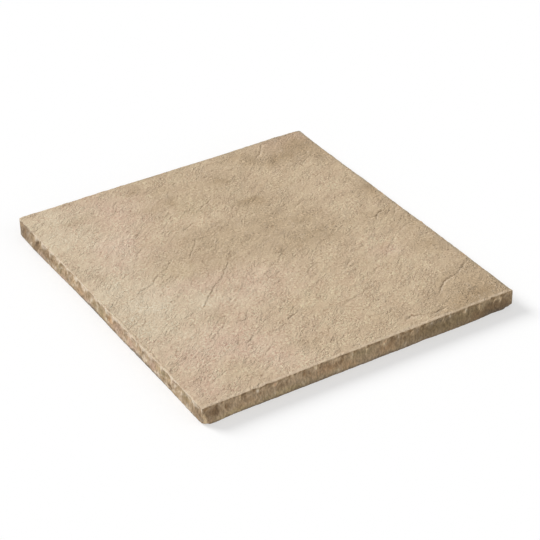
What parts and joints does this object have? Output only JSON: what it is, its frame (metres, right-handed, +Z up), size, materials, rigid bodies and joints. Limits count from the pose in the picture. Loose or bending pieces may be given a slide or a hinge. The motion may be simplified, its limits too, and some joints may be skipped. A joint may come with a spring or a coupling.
{
  "type": "hearthstone slab",
  "caption": "Rectangular cast-stone hearth slab with a flat underside, a low slate-like top and chiselled edges on all four sides.",
  "frame": {"origin": "centre of the underside", "axes": "+Z up out of the slate-like top, +Y along the length, +X across the width"},
  "size_m": [0.4572, 0.508, 0.0254],
  "materials": {
    "cast_stone": "matte"
  },
  "bodies": {
    "root": {"hearthstone": "cast_stone"}
  },
  "joints": []
}
